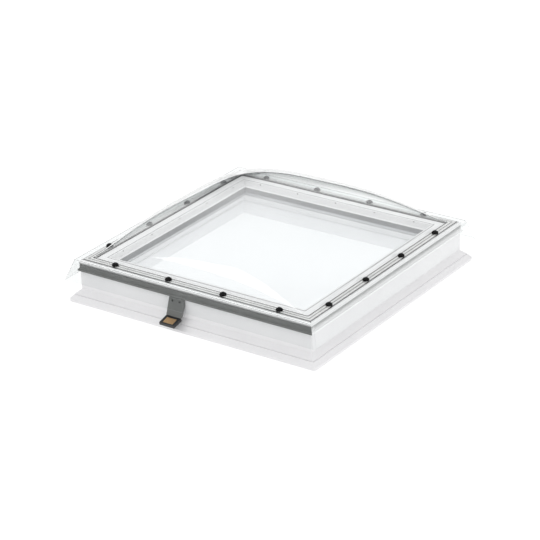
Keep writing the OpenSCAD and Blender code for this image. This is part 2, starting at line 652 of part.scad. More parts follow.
module drive_housing() color("silver") difference() {
    drive_box(0, housing_z0, housing_z1);
    drive_box(housing_t, housing_z0 + housing_t, housing_z1 + 1);
    translate([grommet_x, -half[1] - chain_u - grommet_u, 0]) cylinder(h = curb_h, d = grommet_d);
    drive_screw_places() cylinder(h = curb_h, d = 5.4);
}
module drive_cover() color("gainsboro") difference() {
    drive_box(0, housing_z1 + touch, housing_z1 + touch + housing_t);
    at_chain() translate([-guide_x - 0.3, -guide_y - 0.3, 0])
        cube([2 * guide_x + 0.6, 2 * guide_y + 0.6, curb_h]);
}
module drive_screws() color("gray") drive_screw_places() {
    translate([0, 0, pocket_z + touch]) cylinder(h = housing_floor + 1 - pocket_z, d = 5);
    translate([0, 0, housing_floor + touch]) cylinder(h = 3.2, d = 9);
}

module chain_guide() color("gray") at_chain() difference() {
    translate([-guide_x, -guide_y, housing_floor + touch])
        cube([2 * guide_x, 2 * guide_y, guide_top - housing_floor - touch]);
    translate([-pin_x - guide_clear, -link_w / 2 - guide_clear, 0])
        cube([2 * (pin_x + guide_clear), link_w + 2 * guide_clear, curb_h + 50]);
    translate([-5.2, -40, sprocket_z - sprocket_r - 4]) cube([10.4, 40, 2 * sprocket_r + 8]);
}

module link_plate(x0, x1, k) at_chain() translate([x0, 0, 0]) rotate([90, 0, 90])
linear_extrude(x1 - x0) difference() {
    union() {
        translate([-link_w / 2, chain_z0 + k * chain_pitch]) square([link_w, chain_pitch]);
        for (e = [0, 1]) translate([0, chain_z0 + (k + e) * chain_pitch]) circle(link_w / 2);
    }
    for (e = [0, 1]) translate([0, chain_z0 + (k + e) * chain_pitch])
        circle((k + e == chain_holes - 1 ? end_pin_d / 2 : chain_pin_d / 2) + 0.03);
}
module chain_inner_links() color("silver") for (k = [0:2:chain_holes - 3], m = [0, 1])
    link_plate(m == 0 ? inner_x0 : -inner_x1, m == 0 ? inner_x1 : -inner_x0, k);
module chain_outer_links() color("darkgray") for (k = [1:2:chain_holes - 2], m = [0, 1])
    link_plate(m == 0 ? outer_x0 : -outer_x1, m == 0 ? outer_x1 : -outer_x0, k);
module chain_pins() color("dimgray") for (k = [0:chain_holes - 2])
    at_chain() translate([0, 0, chain_z0 + k * chain_pitch]) rod_x(chain_pin_d / 2, -pin_x, pin_x);
module chain_end_pin() color("dimgray") at_chain()
    translate([0, 0, chain_top]) rod_x(end_pin_d / 2, -end_pin_x, end_pin_x);

// Sprocket: each flank keeps a pin's radius off the path that a pin of the straight chain takes
flank_gap = 0.25;
function flank(t) = let (a = t * 180 / PI, s = sprocket_r * t - chain_pin_d / 2 - flank_gap)
    [sprocket_r * cos(a) + s * sin(a), abs(sprocket_r * sin(a) - s * cos(a))];
module sprocket_outline() {
    tip_r = sprocket_r + tooth_tip;
    root_r = sprocket_r - chain_pin_d / 2 - 0.6;
    difference() {
        circle(tip_r);
        for (k = [0:teeth - 1]) rotate(k * 360 / teeth) {
            translate([sprocket_r, 0]) circle(chain_pin_d / 2 + flank_gap);
            for (m = [0, 1]) mirror([0, m]) polygon(concat([[root_r + 0.4, 0]],
                [for (t = [0.02:0.14:1.0]) flank(t)], [[tip_r + 6, 0]]));
        }
    }
}
module sprocket() color("gray") translate([0, -half[1] - sprocket_u, sprocket_z]) {
    rotate([90, 0, 90]) linear_extrude(3.4, center = true) sprocket_outline();
    rod_x(4, -5, 5);
    rod_x(shaft_r, -12, gearbox_x + shaft_in);
}
module drive_gearbox() color("dimgray") translate([0, -half[1] - sprocket_u, sprocket_z]) difference() {
    translate([gearbox_x, -gearbox_w / 2, housing_floor + touch - sprocket_z])
        cube([gearbox_len, gearbox_w, housing_z1 - housing_floor - 2 * touch]);
    rod_x(shaft_r + 0.05, gearbox_x - 1, gearbox_x + shaft_in + 2);
}
module drive_motor() color("black") translate([gearbox_x + gearbox_len + touch, -half[1] - drive_mid_u,
    housing_floor + motor_d / 2 + touch]) {
    rod_x(motor_d / 2, 0, motor_len);
    rod_x(motor_d / 2 - 5, motor_len, motor_len + 8);
}

// Bracket on the sash: a back plate with two ears, whose slots let the end pin slide outwards
module bracket_screw_places() at_chain() for (d = [-1, 1])
    translate([d * (notch_x - 2.2), room_in - touch, chain_top]) children();
module sash_bracket() color("silver") difference() {
    at_chain() {
        translate([-notch_x + touch, -ear_out, bracket_z])
            cube([2 * (notch_x - touch), ear_out + room_in - touch, bracket_t - touch]);
        translate([-notch_x + touch, room_in - touch - bracket_t, guide_top + 1])
            cube([2 * (notch_x - touch), bracket_t, bracket_z - guide_top]);
        for (d = [-1, 1]) translate([d > 0 ? ear_x0 : -ear_x0 - ear_t, -ear_out, guide_top + 1])
            cube([ear_t, ear_out + room_in - bracket_t, bracket_z - guide_top]);
    }
    at_chain() {
        for (y = [-slot_run, 1]) translate([0, y, chain_top]) rod_x(slot_r, -end_pin_x - 1, end_pin_x + 1);
        translate([-end_pin_x - 1, -slot_run, chain_top - slot_r])
            cube([2 * end_pin_x + 2, slot_run + 1, 2 * slot_r]);
    }
    bracket_screw_places() rod_y(1.7, -5, 2);
}
module sash_bracket_screws() color("gray") bracket_screw_places() {
    rod_y(1.5, -bracket_t - 0.5, 10);
    rod_y(2, -bracket_t - 1.9, -bracket_t - 0.1);
}

// ---------- list of parts ----------

curb_frame();
curb_seal();
cable_grommet();
sash_frame();
outer_pane();
inner_pane();
glass_spacer();
glass_edge_seal();
glass_tape();
glazing_gasket();
bead(FRONT);  // bead_front
bead(RIGHT);  // bead_right
bead(BACK);  // bead_back
bead(LEFT);  // bead_left
bead_screws();
rail(FRONT);  // rail_front
rail(RIGHT);  // rail_right
rail(BACK);  // rail_back
rail(LEFT);  // rail_left
rail_cleats();
front_trim();
dome_seal();
dome();
dome_washers();
dome_screws();
dome_caps();
curb_leaf(-1);  // curb_leaf_left
curb_leaf(1);  // curb_leaf_right
sash_leaf(-1);  // sash_leaf_left
sash_leaf(1);  // sash_leaf_right
hinge_pin(-1);  // hinge_pin_left
hinge_pin(1);  // hinge_pin_right
curb_leaf_screws();
sash_leaf_screws();
sensor_arm();
sensor_head();
sensor_plate();
sensor_screws();
drive_housing();
drive_cover();
drive_motor();
drive_gearbox();
sprocket();
chain_guide();
chain_inner_links();
chain_outer_links();
chain_pins();
chain_end_pin();
sash_bracket();
sash_bracket_screws();
drive_screws();
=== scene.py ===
import bpy
import math
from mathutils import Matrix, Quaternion, Vector


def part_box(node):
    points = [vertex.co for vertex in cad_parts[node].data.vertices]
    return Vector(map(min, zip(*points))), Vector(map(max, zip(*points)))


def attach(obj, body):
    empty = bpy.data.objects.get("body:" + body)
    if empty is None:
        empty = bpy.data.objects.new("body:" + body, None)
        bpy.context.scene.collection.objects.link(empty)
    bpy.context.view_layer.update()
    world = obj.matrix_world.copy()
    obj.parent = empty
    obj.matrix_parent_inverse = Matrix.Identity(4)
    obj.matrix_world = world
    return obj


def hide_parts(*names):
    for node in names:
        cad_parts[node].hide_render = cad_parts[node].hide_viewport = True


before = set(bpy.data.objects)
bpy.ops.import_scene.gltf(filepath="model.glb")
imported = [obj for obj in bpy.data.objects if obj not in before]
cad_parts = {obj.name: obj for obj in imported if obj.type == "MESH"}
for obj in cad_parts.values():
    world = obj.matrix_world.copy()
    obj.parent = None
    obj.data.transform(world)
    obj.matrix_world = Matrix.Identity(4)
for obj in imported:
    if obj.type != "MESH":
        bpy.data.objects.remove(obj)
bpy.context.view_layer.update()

view_azimuth = math.radians(35.161)
view_elevation = math.radians(24.743)
view_roll = -0.0295243
view_distance = 9.0247
look_at = Vector((0.16575, -0.25955, 0.187))
toward_camera = Vector((math.sin(view_azimuth) * math.cos(view_elevation),
                        -math.cos(view_azimuth) * math.cos(view_elevation),
                        math.sin(view_elevation)))
camera = bpy.data.objects.new("Camera", bpy.data.cameras.new("Camera"))
camera.data.lens = 152.43
camera.data.sensor_width = 36.0
camera.data.clip_end = 200.0
camera.location = look_at + toward_camera * view_distance
camera.rotation_mode = "QUATERNION"
camera.rotation_quaternion = toward_camera.to_track_quat("Z", "Y") @ Quaternion((0, 0, 1), view_roll)
bpy.context.collection.objects.link(camera)
bpy.context.scene.camera = camera

# ---- Floor and light ----
# A white studio floor under a bright ceiling that falls off to grey at the walls, later on the right than on
# the left. One broad panel hangs high at the front left and a weak low one stands at the right.
bpy.context.scene.view_settings.view_transform = "Standard"
floor_mesh = bpy.data.meshes.new("studio_floor")
floor_half = 60.0
floor_level = -0.0005
floor_mesh.from_pydata([(sx * floor_half, sy * floor_half, floor_level)
                        for sx, sy in ((-1, -1), (1, -1), (1, 1), (-1, 1))], [], [(0, 1, 2, 3)])
floor = bpy.data.objects.new("studio_floor", floor_mesh)
bpy.context.collection.objects.link(floor)
floor_paint = bpy.data.materials.new("studio_floor_paint")
floor_paint.use_nodes = True
floor_shader = floor_paint.node_tree.nodes["Principled BSDF"]
floor_shader.inputs["Base Color"].default_value = (0.15, 0.15, 0.15, 1)
floor_shader.inputs["Roughness"].default_value = 0.9
floor_shader.inputs["Specular IOR Level"].default_value = 0.0
floor_shader.inputs["Emission Color"].default_value = (1, 1, 1, 1)
floor_shader.inputs["Emission Strength"].default_value = 0.97
floor_mesh.materials.append(floor_paint)

wall_grey = (0.07, 0.075, 0.08)
ceiling_white = (0.96, 0.96, 0.965)
right_lift = 0.09
ceiling = bpy.data.worlds.new("studio_ceiling")
bpy.context.scene.world = ceiling
ceiling.use_nodes = True
sky_nodes = ceiling.node_tree.nodes
sky_links = ceiling.node_tree.links
sky_place = sky_nodes.new("ShaderNodeTexCoord")
sky_parts = sky_nodes.new("ShaderNodeSeparateXYZ")
sky_links.new(sky_place.outputs["Generated"], sky_parts.inputs[0])
sky_fade = sky_nodes.new("ShaderNodeMapRange")
sky_fade.inputs["From Min"].default_value = 0.02
sky_fade.inputs["From Max"].default_value = 0.32
sky_fade.interpolation_type = "SMOOTHSTEP"
sky_lean = sky_nodes.new("ShaderNodeMath")
sky_lean.operation = "MULTIPLY_ADD"
sky_lean.inputs[1].default_value = right_lift
sky_links.new(sky_parts.outputs["X"], sky_lean.inputs[0])
sky_links.new(sky_parts.outputs["Z"], sky_lean.inputs[2])
sky_links.new(sky_lean.outputs[0], sky_fade.inputs["Value"])
sky_tone = sky_nodes.new("ShaderNodeMix")
sky_tone.data_type = "RGBA"
sky_tone.inputs["A"].default_value = (*wall_grey, 1)
sky_tone.inputs["B"].default_value = (*ceiling_white, 1)
sky_links.new(sky_fade.outputs["Result"], sky_tone.inputs["Factor"])
sky_links.new(sky_tone.outputs["Result"], sky_nodes["Background"].inputs["Color"])


def hang_panel(name, place, aim, size, watts):
    lamp = bpy.data.lights.new(name, "AREA")
    lamp.shape = "SQUARE"
    lamp.size = size
    lamp.energy = watts
    panel = bpy.data.objects.new(name, lamp)
    panel.location = place
    panel.rotation_euler = (Vector(aim) - Vector(place)).to_track_quat("-Z", "Y").to_euler()
    bpy.context.collection.objects.link(panel)


hang_panel("panel_front_left", (-4.5, -5.0, 7.5), (0, 0, 0.1), 3.0, 45)
hang_panel("panel_right", (7.0, -0.5, 1.1), (0, 0, 0.1), 2.0, 14)

# ---- Upstand ----
# The upstand is a square frame of white rigid plastic, extruded in bars and welded at the mitres. It has a
# faint moulded grain and slightly uneven white. Its outer flange lies on the roof and takes the screws.


def noise(tree, place, scale, detail, rough=0.5):
    texture = tree.nodes.new("ShaderNodeTexNoise")
    texture.inputs["Scale"].default_value = scale
    texture.inputs["Detail"].default_value = detail
    texture.inputs["Roughness"].default_value = rough
    tree.links.new(place, texture.inputs["Vector"])
    return texture


def new_effect(name, inputs, outputs):
    effect = bpy.data.node_groups.new(name, "ShaderNodeTree")
    for label, kind, value in inputs:
        socket = effect.interface.new_socket(label, in_out="INPUT", socket_type=kind)
        socket.default_value = value
    for label in outputs:
        effect.interface.new_socket(label, in_out="OUTPUT", socket_type="NodeSocketFloat")
    return effect, effect.nodes.new("NodeGroupInput"), effect.nodes.new("NodeGroupOutput")


moulded_skin, skin_in, skin_out = new_effect(
    "moulded_skin",
    [("Grain Scale", "NodeSocketFloat", 900.0), ("Patch Scale", "NodeSocketFloat", 5.0)],
    ["Patch", "Grain"])
skin_place = moulded_skin.nodes.new("ShaderNodeTexCoord")
patch_noise = noise(moulded_skin, skin_place.outputs["Object"], 5.0, 3.0)
moulded_skin.links.new(skin_in.outputs["Patch Scale"], patch_noise.inputs["Scale"])
grain_noise = noise(moulded_skin, skin_place.outputs["Object"], 900.0, 2.0)
moulded_skin.links.new(skin_in.outputs["Grain Scale"], grain_noise.inputs["Scale"])
patch_range = moulded_skin.nodes.new("ShaderNodeMapRange")
patch_range.inputs["From Min"].default_value = 0.3
patch_range.inputs["From Max"].default_value = 0.7
moulded_skin.links.new(patch_noise.outputs["Fac"], patch_range.inputs["Value"])
moulded_skin.links.new(patch_range.outputs["Result"], skin_out.inputs["Patch"])
moulded_skin.links.new(grain_noise.outputs["Fac"], skin_out.inputs["Grain"])


def moulded(name, light, dark, roughness, grain_scale, relief, patch_scale=5.0):
    material = bpy.data.materials.new(name)
    material.use_nodes = True
    tree = material.node_tree
    shader = tree.nodes["Principled BSDF"]
    skin = tree.nodes.new("ShaderNodeGroup")
    skin.node_tree = moulded_skin
    skin.inputs["Grain Scale"].default_value = grain_scale
    skin.inputs["Patch Scale"].default_value = patch_scale
    tone = tree.nodes.new("ShaderNodeMix")
    tone.data_type = "RGBA"
    tone.inputs["A"].default_value = (*light, 1)
    tone.inputs["B"].default_value = (*dark, 1)
    tree.links.new(skin.outputs["Patch"], tone.inputs["Factor"])
    tree.links.new(tone.outputs["Result"], shader.inputs["Base Color"])
    gloss = tree.nodes.new("ShaderNodeMapRange")
    gloss.inputs["To Min"].default_value = roughness[0]
    gloss.inputs["To Max"].default_value = roughness[1]
    tree.links.new(skin.outputs["Patch"], gloss.inputs["Value"])
    tree.links.new(gloss.outputs["Result"], shader.inputs["Roughness"])
    bump = tree.nodes.new("ShaderNodeBump")
    bump.inputs["Strength"].default_value = 0.5
    bump.inputs["Distance"].default_value = relief
    tree.links.new(skin.outputs["Grain"], bump.inputs["Height"])
    tree.links.new(bump.outputs["Normal"], shader.inputs["Normal"])
    return material


def finish_nodes(material, *names):
    for name in names:
        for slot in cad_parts[name].material_slots:
            slot.material = material


white_pvc = moulded("white_pvc", (0.87, 0.865, 0.872), (0.835, 0.832, 0.842), (0.34, 0.46), 700.0, 0.00006)
finish_nodes(white_pvc, "curb_frame")

# ---- Upstand seal and cable grommet ----
# A soft dark rubber profile is pushed into the groove on top of the upstand, and the sash shuts down on
# it. A black rubber ring lines the hole that the supply cable comes up through.
seal_rubber = moulded("seal_rubber", (0.10, 0.10, 0.105), (0.07, 0.07, 0.073),
                      (0.62, 0.75), 1500.0, 0.00008)
finish_nodes(seal_rubber, "curb_seal", "glass_tape")
black_rubber = moulded("black_rubber", (0.022, 0.022, 0.023), (0.014, 0.014, 0.015),
                       (0.5, 0.65), 1400.0, 0.00006)
finish_nodes(black_rubber, "cable_grommet", "glass_edge_seal", "dome_washers")

# ---- Chain drive ----
# A folded aluminium housing lies in a pocket of the upstand's front. It holds a motor and a gearbox in
# dark moulded cases, under a screwed cover, with brushed faces on the sheet metal.
drawn_metal, drawn_in, drawn_out = new_effect(
    "drawn_metal",
    [("Stretch", "NodeSocketVector", (1.0, 1.0, 1.0)), ("Line Scale", "NodeSocketFloat", 60.0)],
    ["Lines", "Handling"])
drawn_place = drawn_metal.nodes.new("ShaderNodeTexCoord")
drawn_stretch = drawn_metal.nodes.new("ShaderNodeVectorMath")
drawn_stretch.operation = "MULTIPLY"
drawn_metal.links.new(drawn_place.outputs["Object"], drawn_stretch.inputs[0])
drawn_metal.links.new(drawn_in.outputs["Stretch"], drawn_stretch.inputs[1])
line_noise = noise(drawn_metal, drawn_stretch.outputs["Vector"], 60.0, 3.0, 0.6)
drawn_metal.links.new(drawn_in.outputs["Line Scale"], line_noise.inputs["Scale"])
handling_noise = noise(drawn_metal, drawn_place.outputs["Object"], 7.0, 3.0, 0.6)
drawn_metal.links.new(line_noise.outputs["Fac"], drawn_out.inputs["Lines"])
drawn_metal.links.new(handling_noise.outputs["Fac"], drawn_out.inputs["Handling"])


def drawn(name, light, dark, roughness, stretch, line_scale, relief, metallic=1.0):
    material = bpy.data.materials.new(name)
    material.use_nodes = True
    tree = material.node_tree
    shader = tree.nodes["Principled BSDF"]
    shader.inputs["Metallic"].default_value = metallic
    metal = tree.nodes.new("ShaderNodeGroup")
    metal.node_tree = drawn_metal
    metal.inputs["Stretch"].default_value = stretch
    metal.inputs["Line Scale"].default_value = line_scale
    tone = tree.nodes.new("ShaderNodeMix")
    tone.data_type = "RGBA"
    tone.inputs["A"].default_value = (*light, 1)
    tone.inputs["B"].default_value = (*dark, 1)
    tree.links.new(metal.outputs["Lines"], tone.inputs["Factor"])
    tree.links.new(tone.outputs["Result"], shader.inputs["Base Color"])
    gloss = tree.nodes.new("ShaderNodeMapRange")
    gloss.inputs["From Min"].default_value = 0.3
    gloss.inputs["From Max"].default_value = 0.7
    gloss.inputs["To Min"].default_value = roughness[0]
    gloss.inputs["To Max"].default_value = roughness[1]
    tree.links.new(metal.outputs["Handling"], gloss.inputs["Value"])
    tree.links.new(gloss.outputs["Result"], shader.inputs["Roughness"])
    bump = tree.nodes.new("ShaderNodeBump")
    bump.inputs["Strength"].default_value = 0.4
    bump.inputs["Distance"].default_value = relief
    tree.links.new(metal.outputs["Lines"], bump.inputs["Height"])
    tree.links.new(bump.outputs["Normal"], shader.inputs["Normal"])
    return material


mill_sheet = drawn("mill_sheet", (0.82, 0.83, 0.84), (0.66, 0.67, 0.68),
                   (0.32, 0.45), (1, 14, 14), 40.0, 0.00003)
finish_nodes(mill_sheet, "drive_housing", "drive_cover", "rail_cleats", "glass_spacer")
dark_case = moulded("dark_case", (0.035, 0.035, 0.038), (0.025, 0.025, 0.028), (0.45, 0.6), 900.0, 0.0001)
finish_nodes(dark_case, "drive_motor", "drive_gearbox")

# ---- Chain ----
# The push chain is stamped from steel plates on steel pins, oiled and a little browned. It stands in a
# steel guide, and the sprocket under it is cut from the same steel.
oiled_steel = moulded("oiled_steel", (0.34, 0.33, 0.31), (0.22, 0.21, 0.20),
                      (0.28, 0.42), 350.0, 0.00005, 60.0)
oiled_steel.node_tree.nodes["Principled BSDF"].inputs["Metallic"].default_value = 1.0
finish_nodes(oiled_steel, "sprocket", "chain_inner_links", "chain_outer_links", "chain_pins", "chain_end_pin")
guide_steel = drawn("guide_steel", (0.62, 0.63, 0.64), (0.45, 0.46, 0.47),
                    (0.3, 0.42), (14, 14, 1), 60.0, 0.00003)
finish_nodes(guide_steel, "chain_guide")

# ---- Screws ----
# The small screws are turned from stainless steel, and fine marks from the lathe show on their heads. Those
# in the glazing beads are bronzed dark.
stainless = drawn("stainless", (0.72, 0.73, 0.74), (0.52, 0.53, 0.54),
                  (0.22, 0.34), (9, 9, 9), 90.0, 0.00002)
finish_nodes(stainless, "drive_screws", "sensor_screws", "curb_leaf_screws", "sash_leaf_screws",
             "sash_bracket_screws", "dome_screws")
bronzed = drawn("bronzed", (0.20, 0.18, 0.16), (0.12, 0.11, 0.10), (0.3, 0.4), (9, 9, 9), 90.0, 0.00002)
finish_nodes(bronzed, "bead_screws")

# ---- Hinges and bracket ----
# Two steel hinges carry the sash at the back, and a steel bracket holds the end of the chain. All are
# zinc plated, with the mottled bloom that zinc gets.
zinc_plate = moulded("zinc_plate", (0.66, 0.67, 0.69), (0.50, 0.52, 0.54),
                     (0.28, 0.46), 260.0, 0.00004, 45.0)
zinc_plate.node_tree.nodes["Principled BSDF"].inputs["Metallic"].default_value = 1.0
finish_nodes(zinc_plate, "curb_leaf_left", "curb_leaf_right", "sash_leaf_left", "sash_leaf_right",
             "hinge_pin_left", "hinge_pin_right", "sash_bracket")

# ---- Rain sensor ----
# A dark painted steel arm hangs the sensor in front of the upstand. Its head is a black moulded tray with
# a gold plated board of comb tracks, which a drop of rain bridges.
dark_paint_and_cove_shade = moulded("dark_paint_and_cove_shade", (0.172, 0.177, 0.172), (0.145, 0.150, 0.145),
                     (0.34, 0.46), 1100.0, 0.00005, 9.0)
finish_nodes(dark_paint_and_cove_shade, "sensor_arm")
black_plastic = moulded("black_plastic", (0.02, 0.02, 0.021), (0.012, 0.012, 0.013),
                        (0.22, 0.34), 900.0, 0.00004)
finish_nodes(black_plastic, "sensor_head")

gold_tracks = bpy.data.materials.new("gold_tracks")
gold_tracks.use_nodes = True
track_tree = gold_tracks.node_tree
track_shader = track_tree.nodes["Principled BSDF"]
track_place = track_tree.nodes.new("ShaderNodeTexCoord")
track_wave = track_tree.nodes.new("ShaderNodeTexWave")
track_wave.bands_direction = "Y"
track_wave.inputs["Scale"].default_value = 60.0
track_tree.links.new(track_place.outputs["Object"], track_wave.inputs["Vector"])
track_edge = track_tree.nodes.new("ShaderNodeMapRange")
track_edge.inputs["From Min"].default_value = 0.2
track_edge.inputs["From Max"].default_value = 0.35
track_tree.links.new(track_wave.outputs["Fac"], track_edge.inputs["Value"])
track_tone = track_tree.nodes.new("ShaderNodeMix")
track_tone.data_type = "RGBA"
track_tone.inputs["A"].default_value = (0.20, 0.13, 0.06, 1)
track_tone.inputs["B"].default_value = (0.78, 0.50, 0.26, 1)
track_tree.links.new(track_edge.outputs["Result"], track_tone.inputs["Factor"])
track_tree.links.new(track_tone.outputs["Result"], track_shader.inputs["Base Color"])
track_tree.links.new(track_edge.outputs["Result"], track_shader.inputs["Metallic"])
track_shader.inputs["Roughness"].default_value = 0.32
track_bump = track_tree.nodes.new("ShaderNodeBump")
track_bump.inputs["Distance"].default_value = 0.0001
track_tree.links.new(track_edge.outputs["Result"], track_bump.inputs["Height"])
track_tree.links.new(track_bump.outputs["Normal"], track_shader.inputs["Normal"])
finish_nodes(gold_tracks, "sensor_plate")

# ---- Sash and beads ----
# The sash is a second welded frame of the same plastic. Its white is painted lighter than the upstand's, as
# painted light that makes up for the shade under the dome. Four white beads of the same lightened white are
# screwed to it over the glass.
sash_pvc_painted_light = moulded("sash_pvc_painted_light", (0.97, 0.97, 0.97), (0.94, 0.94, 0.945), (0.32, 0.44), 700.0, 0.00006)
finish_nodes(sash_pvc_painted_light, "sash_frame", "bead_front", "bead_right", "bead_back", "bead_left")

# ---- Sealed glass ----
# Two panes of float glass are sealed at the edge round an aluminium spacer. The glass is clear with a cold
# tint, and lamps and bounced light pass straight through it.


def clear_sheet(name, light, dark, ior):
    material = bpy.data.materials.new(name)
    material.use_nodes = True
    tree = material.node_tree
    shader = tree.nodes["Principled BSDF"]
    shader.inputs["Transmission Weight"].default_value = 1.0
    shader.inputs["IOR"].default_value = ior
    shader.inputs["Roughness"].default_value = 0.0
    skin = tree.nodes.new("ShaderNodeGroup")
    skin.node_tree = moulded_skin
    skin.inputs["Patch Scale"].default_value = 2.5
    tone = tree.nodes.new("ShaderNodeMix")
    tone.data_type = "RGBA"
    tone.inputs["A"].default_value = (*light, 1)
    tone.inputs["B"].default_value = (*dark, 1)
    tree.links.new(skin.outputs["Patch"], tone.inputs["Factor"])
    tree.links.new(tone.outputs["Result"], shader.inputs["Base Color"])
    path = tree.nodes.new("ShaderNodeLightPath")
    open_way = tree.nodes.new("ShaderNodeBsdfTransparent")
    open_way.inputs["Color"].default_value = (1, 1, 1, 1)
    bounce = tree.nodes.new("ShaderNodeMixShader")
    tree.links.new(path.outputs["Is Diffuse Ray"], bounce.inputs[0])
    tree.links.new(shader.outputs[0], bounce.inputs[1])
    tree.links.new(open_way.outputs[0], bounce.inputs[2])
    lamps = tree.nodes.new("ShaderNodeMixShader")
    tree.links.new(path.outputs["Is Shadow Ray"], lamps.inputs[0])
    tree.links.new(bounce.outputs[0], lamps.inputs[1])
    tree.links.new(open_way.outputs[0], lamps.inputs[2])
    tree.links.new(lamps.outputs[0], tree.nodes["Material Output"].inputs["Surface"])
    return material


float_glass = clear_sheet("float_glass", (0.985, 0.990, 0.996), (0.978, 0.985, 0.992), 1.52)
finish_nodes(float_glass, "outer_pane", "inner_pane")

# ---- Glazing gasket ----
# Inside the beads a grey rubber gasket slopes down on to the glass. It is extruded in one with a hard white
# lip along the top and fine ribs below it, and its corners are cut to a mitre.
gasket_low, gasket_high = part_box("glazing_gasket")
gasket_half = gasket_high.x
gasket_ribs = 7
ribbed_share = 0.72
rib_depth = 0.0009
lip_height = 0.0016
foot_reach = 0.0274
head_reach = 0.0065
heel_reach = 0.0045
heel_height = 0.0038


def mitred_ring(name, section):
    vertices = []
    for out, level in section:
        for sx, sy in ((1, 1), (-1, 1), (-1, -1), (1, -1)):
            vertices.append((sx * out, sy * out, level))
    faces = []
    count = len(section)
    for k in range(count):
        a, b = 4 * k, 4 * ((k + 1) % count)
        for c in range(4):
            d = (c + 1) % 4
            faces.append((a + c, a + d, b + d, b + c))
    mesh = bpy.data.meshes.new(name)
    mesh.from_pydata(vertices, [], faces)
    mesh.validate()
    ring = bpy.data.objects.new(name, mesh)
    bpy.context.collection.objects.link(ring)
    return ring


rib_foot = (gasket_half - foot_reach, gasket_low.z + lip_height)
rib_head = (gasket_half - head_reach, gasket_high.z)
slope = Vector((rib_head[0] - rib_foot[0], rib_head[1] - rib_foot[1]))
inward = Vector((slope.y, -slope.x)).normalized()
gasket_section = [(rib_foot[0], gasket_low.z), rib_foot]
for k in range(gasket_ribs):
    for share, depth in ((0.30, 0.0), (0.42, rib_depth), (0.72, rib_depth), (0.84, 0.0)):
        t = ribbed_share * (k + share) / gasket_ribs
        gasket_section.append((rib_foot[0] + slope.x * t + inward.x * depth,
                               rib_foot[1] + slope.y * t + inward.y * depth))
gasket_section += [rib_head, (gasket_half - heel_reach, gasket_low.z + heel_height),
                   (gasket_half, gasket_low.z + heel_height), (gasket_half, gasket_low.z)]
ribbed_gasket = mitred_ring("ribbed_gasket", gasket_section)
gasket_rubber = moulded("gasket_rubber", (0.40, 0.405, 0.415), (0.33, 0.335, 0.345),
                        (0.5, 0.65), 1500.0, 0.00006)
ribbed_gasket.data.materials.append(gasket_rubber)
ribbed_gasket.data.materials.append(sash_pvc_painted_light)
lip_start = 4 * gasket_ribs + 1
for face in range(4 * lip_start, 4 * (lip_start + 2)):
    ribbed_gasket.data.polygons[face].material_index = 1
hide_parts("glazing_gasket")
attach(ribbed_gasket, "sash")

# ---- Rails ----
# Four satin anodised aluminium bars cover the sash. They are extruded, so fine lines run along each one.
# The channel beside the sealing strip is painted near black as painted shade. The outer faces under the
# rounded nose carry a band of painted shade and painted reflection, darker on the front and back bars than
# on the sides.
rail_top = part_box("rail_left")[1].z
joint_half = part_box("dome_seal")[1].x - 0.004
joint_depth = 0.0004
nose_half = 0.5555
nose_depth = 0.014
side_drop = 0.044


